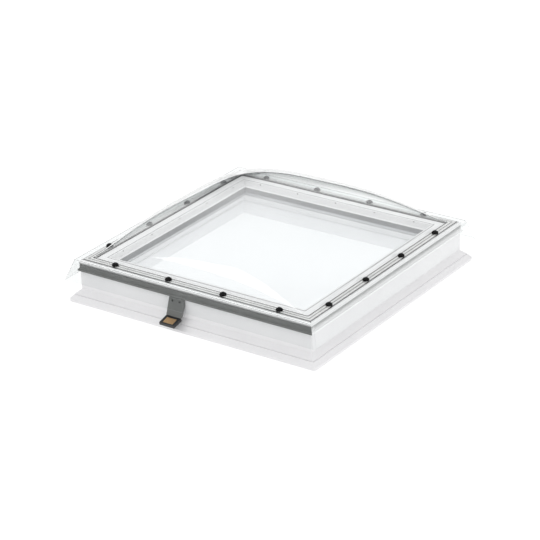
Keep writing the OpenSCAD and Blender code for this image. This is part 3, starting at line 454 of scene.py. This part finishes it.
def anodised_bar(name, stretch, nose_shade_colour, nose_start):
    material = drawn(name, (0.97, 0.97, 0.97), (0.94, 0.94, 0.942),
                     (0.28, 0.38), stretch, 30.0, 0.00002, 0.45)
    tree = material.node_tree
    shader = tree.nodes["Principled BSDF"]
    tone = shader.inputs["Base Color"].links[0].from_socket
    place = tree.nodes.new("ShaderNodeTexCoord")
    parts = tree.nodes.new("ShaderNodeSeparateXYZ")
    tree.links.new(place.outputs["Object"], parts.inputs[0])
    wide = []
    for axis in "XY":
        size = tree.nodes.new("ShaderNodeMath")
        size.operation = "ABSOLUTE"
        tree.links.new(parts.outputs[axis], size.inputs[0])
        wide.append(size)
    reach = tree.nodes.new("ShaderNodeMath")
    reach.operation = "MAXIMUM"
    tree.links.new(wide[0].outputs[0], reach.inputs[0])
    tree.links.new(wide[1].outputs[0], reach.inputs[1])
    # Painted shade: rail faces inside a line 4 mm within the sealing strip's outer edge and more than 0.4 mm
    # below the rail top are mixed to near black. This is the channel beside the strip.
    inside = tree.nodes.new("ShaderNodeMath")
    inside.operation = "LESS_THAN"
    inside.inputs[1].default_value = joint_half
    tree.links.new(reach.outputs[0], inside.inputs[0])
    low = tree.nodes.new("ShaderNodeMath")
    low.operation = "LESS_THAN"
    low.inputs[1].default_value = rail_top - joint_depth
    tree.links.new(parts.outputs["Z"], low.inputs[0])
    channel_shade_mask = tree.nodes.new("ShaderNodeMath")
    channel_shade_mask.operation = "MULTIPLY"
    tree.links.new(inside.outputs[0], channel_shade_mask.inputs[0])
    tree.links.new(low.outputs[0], channel_shade_mask.inputs[1])
    shade = tree.nodes.new("ShaderNodeMix")
    shade.data_type = "RGBA"
    shade.inputs["B"].default_value = (0.05, 0.05, 0.052, 1)
    tree.links.new(channel_shade_mask.outputs[0], shade.inputs["Factor"])
    tree.links.new(tone, shade.inputs["A"])
    # Painted shade and painted reflection: below the rounded nose the outer faces darken in a band. It starts
    # at the nose start, is full from 14 to 18 mm below the rail top, half at 26 mm and gone by 36 mm.
    outside = tree.nodes.new("ShaderNodeMath")
    outside.operation = "GREATER_THAN"
    outside.inputs[1].default_value = nose_half
    tree.links.new(reach.outputs[0], outside.inputs[0])
    drop = tree.nodes.new("ShaderNodeMapRange")
    drop.inputs["From Min"].default_value = rail_top
    drop.inputs["From Max"].default_value = rail_top - side_drop
    tree.links.new(parts.outputs["Z"], drop.inputs["Value"])
    nose_shade_ramp = tree.nodes.new("ShaderNodeValToRGB")
    nose_shade_ramp.color_ramp.elements[0].position = nose_start / side_drop
    nose_shade_ramp.color_ramp.elements[1].position = nose_depth / side_drop
    for depth, share in ((0.018, 1.0), (0.026, 0.5), (0.036, 0.0)):
        nose_shade_ramp.color_ramp.elements.new(depth / side_drop).color = (share, share, share, 1)
    tree.links.new(drop.outputs["Result"], nose_shade_ramp.inputs[0])
    nose_shade_mask = tree.nodes.new("ShaderNodeMath")
    nose_shade_mask.operation = "MULTIPLY"
    tree.links.new(outside.outputs[0], nose_shade_mask.inputs[0])
    tree.links.new(nose_shade_ramp.outputs["Color"], nose_shade_mask.inputs[1])
    nose_shaded_mix = tree.nodes.new("ShaderNodeMix")
    nose_shaded_mix.data_type = "RGBA"
    nose_shaded_mix.inputs["B"].default_value = (*nose_shade_colour, 1)
    tree.links.new(nose_shade_mask.outputs[0], nose_shaded_mix.inputs["Factor"])
    tree.links.new(shade.outputs["Result"], nose_shaded_mix.inputs["A"])
    tree.links.new(nose_shaded_mix.outputs["Result"], shader.inputs["Base Color"])
    return material


# The front and back bars take a darker painted shade under the nose, starting higher, than the side bars.
bar_along_x = anodised_bar("anodised_bar_x", (1, 20, 20), (0.28, 0.28, 0.28), 0.002)
bar_along_y = anodised_bar("anodised_bar_y", (20, 1, 20), (0.46, 0.46, 0.46), 0.0085)
finish_nodes(bar_along_x, "rail_front", "rail_back")
finish_nodes(bar_along_y, "rail_right", "rail_left")
# Painted shade: the front trim is dark grey to stand for the shade and dark reflection in the front rail's
# cove.
finish_nodes(dark_paint_and_cove_shade, "front_trim")

# ---- Groove shade beads and mitre seals ----
# Thin near black beads lie in the long grooves as painted shade: round the glazing beads, along the rails'
# inner edge, and in the middle and at the edge of the sealing strip. A rubber plate is clamped in each mitre
# of the rails.
strip_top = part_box("dome_seal")[1].z
opening_half = 0.5
bead_round = 0.0004
bead_sink = 0.001
dark_rubber_and_groove_shade = moulded("dark_rubber_and_groove_shade", (0.018, 0.018, 0.019), (0.012, 0.012, 0.013),
                      (0.55, 0.7), 1500.0, 0.00005)
groove_shade_beads = (("glass_joint_bead", -0.0235, -0.0210, rail_top + 0.0002),
               ("rail_joint_bead", 0.0122, 0.0162, strip_top - 0.0002),
               ("strip_middle_shade_bead", 0.0300, 0.0342, strip_top + 0.00005),
               ("strip_edge_bead", 0.0440, 0.0478, strip_top - 0.0002))
# Painted shade: each bead is a near black ring set in a groove, where the groove lies in shade.
for bead_name, inner_edge, outer_edge, top in groove_shade_beads:
    inner = opening_half + inner_edge
    outer = opening_half + outer_edge
    foot = rail_top - bead_sink
    ring = mitred_ring(bead_name, [(inner, foot), (inner, top - bead_round), (inner + bead_round, top),
                                   (outer - bead_round, top), (outer, top - bead_round), (outer, foot)])
    ring.data.materials.append(dark_rubber_and_groove_shade)
    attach(ring, "sash")

seal_half_thickness = 0.0015
seal_foot = rail_top - 0.002
seal_step = rail_top + 0.0002
seal_top = strip_top - 0.00005
seal_inner = opening_half + 0.0135
seal_middle = opening_half + 0.0468
seal_outer = opening_half + 0.0525
mitre_profile = [(seal_inner, seal_foot), (seal_inner, seal_top), (seal_middle, seal_top),
                 (seal_middle + 0.0002, seal_step), (seal_outer, seal_step), (seal_outer, seal_foot)]
corners = len(mitre_profile)
seal_vertices = []
seal_faces = []
for sx, sy in ((1, 1), (-1, 1), (-1, -1), (1, -1)):
    across = Vector((-sy, sx, 0)).normalized() * seal_half_thickness
    first = len(seal_vertices)
    for side in (-1, 1):
        for out, level in mitre_profile:
            seal_vertices.append((sx * out + side * across.x, sy * out + side * across.y, level))
    seal_faces.append([first + k for k in range(corners)])
    seal_faces.append([first + corners + k for k in reversed(range(corners))])
    for k in range(corners):
        after = (k + 1) % corners
        seal_faces.append([first + after, first + k, first + corners + k, first + corners + after])
seal_mesh = bpy.data.meshes.new("mitre_seals")
seal_mesh.from_pydata(seal_vertices, [], seal_faces)
seal_mesh.materials.append(dark_rubber_and_groove_shade)
mitre_seals = bpy.data.objects.new("mitre_seals", seal_mesh)
bpy.context.collection.objects.link(mitre_seals)
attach(mitre_seals, "sash")

# ---- Sealing strip ----
# A light closed-cell foam strip lies in a channel of the rails, and the dome's flange is screwed down on
# it. Its skin is pitted by the cells.
light_foam = moulded("light_foam", (0.82, 0.82, 0.81), (0.70, 0.70, 0.69),
                     (0.6, 0.75), 1800.0, 0.00015, 30.0)
finish_nodes(light_foam, "dome_seal")

# ---- Dome ----
# The dome is blown from one 3 mm sheet of clear acrylic: a flat crown with steep sides, a flange for the
# screws, and a skirt that flares out over the upstand and ends in a sawn edge.
import bmesh

dome_low, dome_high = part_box("dome")
sheet = 0.0029
flange_height = 0.003
flange_top = strip_top + flange_height
foot_half = 0.516
fold_half = 0.577
fold_radius = 0.006
skirt_half = dome_high.x
foot_level = flange_top + 0.003
fold_steps = 6
crown_rise = dome_high.z - foot_level
cells = 96
crown_power = 2.85
side_power = 0.65
corner_radius = 0.009

dome_bmesh = bmesh.new()
spread = [math.sin(math.pi / 2 * (2 * k / cells - 1)) for k in range(cells + 1)]


def crown_height(x, y):
    rest = max(0.0, (1 - abs(x) ** crown_power) * (1 - abs(y) ** crown_power))
    return foot_level + crown_rise * rest ** side_power


grid = [[dome_bmesh.verts.new((x * foot_half, y * foot_half, crown_height(x, y))) for x in spread]
        for y in spread]
for j in range(cells):
    for i in range(cells):
        dome_bmesh.faces.new((grid[j][i], grid[j][i + 1], grid[j + 1][i + 1], grid[j + 1][i]))
inner_ring = ([grid[0][i] for i in range(cells)] + [grid[j][cells] for j in range(cells)]
              + [grid[cells][i] for i in range(cells, 0, -1)] + [grid[j][0] for j in range(cells, 0, -1)])
rim_places = [(v.co.x / foot_half, v.co.y / foot_half) for v in inner_ring]


def ring_point(x, y, half, radius):
    straight = half - radius
    px, py = x * half, y * half
    if abs(px) < straight or abs(py) < straight:
        return px, py
    near = max(abs(px), abs(py)) - min(abs(px), abs(py))
    angle = math.radians(45) * (1 - near / radius)
    long_side = straight + radius * math.cos(angle)
    short_side = straight + radius * math.sin(angle)
    sx, sy = math.copysign(1, px), math.copysign(1, py)
    if abs(px) >= abs(py):
        return sx * long_side, sy * short_side
    return sx * short_side, sy * long_side


skirt_lean = math.atan2(skirt_half - fold_half, flange_top - fold_radius - dome_low.z)
skirt_rings = [(foot_half + 0.0009, foot_level - 0.0018, 0.001),
               (foot_half + 0.0025, flange_top + 0.0002, 0.002),
               (foot_half + 0.005, flange_top, 0.003),
               (fold_half - 0.03, flange_top, 0.006),
               (fold_half - fold_radius - 0.002, flange_top, corner_radius)]
for k in range(fold_steps + 1):
    turn = math.radians(90) - (math.radians(90) - skirt_lean) * k / fold_steps
    skirt_rings.append((fold_half - fold_radius + fold_radius * math.cos(turn),
                        flange_top - fold_radius + fold_radius * math.sin(turn), corner_radius))
skirt_start, skirt_level = skirt_rings[-1][:2]
for t in (0.25, 0.5, 0.75, 1.0):
    skirt_rings.append((skirt_start + (skirt_half - skirt_start) * t,
                        skirt_level + (dome_low.z - skirt_level) * t, corner_radius))
previous = inner_ring
for half, level, radius in skirt_rings:
    current = []
    for x, y in rim_places:
        px, py = ring_point(x, y, half, radius)
        current.append(dome_bmesh.verts.new((px, py, level)))
    for k in range(len(current)):
        n = (k + 1) % len(current)
        dome_bmesh.faces.new((previous[n], previous[k], current[k], current[n]))
    previous = current
dome_bmesh.normal_update()
for face in dome_bmesh.faces:
    face.smooth = True
dome_mesh = bpy.data.meshes.new("blown_dome")
dome_bmesh.to_mesh(dome_mesh)
dome_bmesh.free()
blown_dome = bpy.data.objects.new("blown_dome", dome_mesh)
bpy.context.collection.objects.link(blown_dome)
thickness = blown_dome.modifiers.new("sheet_thickness", "SOLIDIFY")
thickness.thickness = sheet
thickness.offset = -1.0
thickness.material_offset_rim = 1
sharp_rim = blown_dome.modifiers.new("sharp_rim", "EDGE_SPLIT")
sharp_rim.split_angle = math.radians(50)
clear_acrylic = clear_sheet("clear_acrylic", (0.972, 0.984, 0.982), (0.962, 0.976, 0.974), 1.49)
dome_mesh.materials.append(clear_acrylic)
sawn_edge = moulded("sawn_edge", (0.62, 0.66, 0.65), (0.50, 0.54, 0.53), (0.35, 0.5), 1200.0, 0.00005, 40.0)
dome_mesh.materials.append(sawn_edge)
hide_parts("dome")
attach(blown_dome, "sash")

# ---- Screw caps ----
# Each dome screw stands on a rubber washer and is hidden by a black moulded cap with a glossy round
# shoulder, pushed on by hand.
cap_plastic = moulded("cap_plastic", (0.004, 0.004, 0.0045), (0.002, 0.002, 0.0025),
                      (0.22, 0.32), 500.0, 0.00002)
cap_plastic.node_tree.nodes["Principled BSDF"].inputs["Specular IOR Level"].default_value = 0.15
finish_nodes(cap_plastic, "dome_caps")
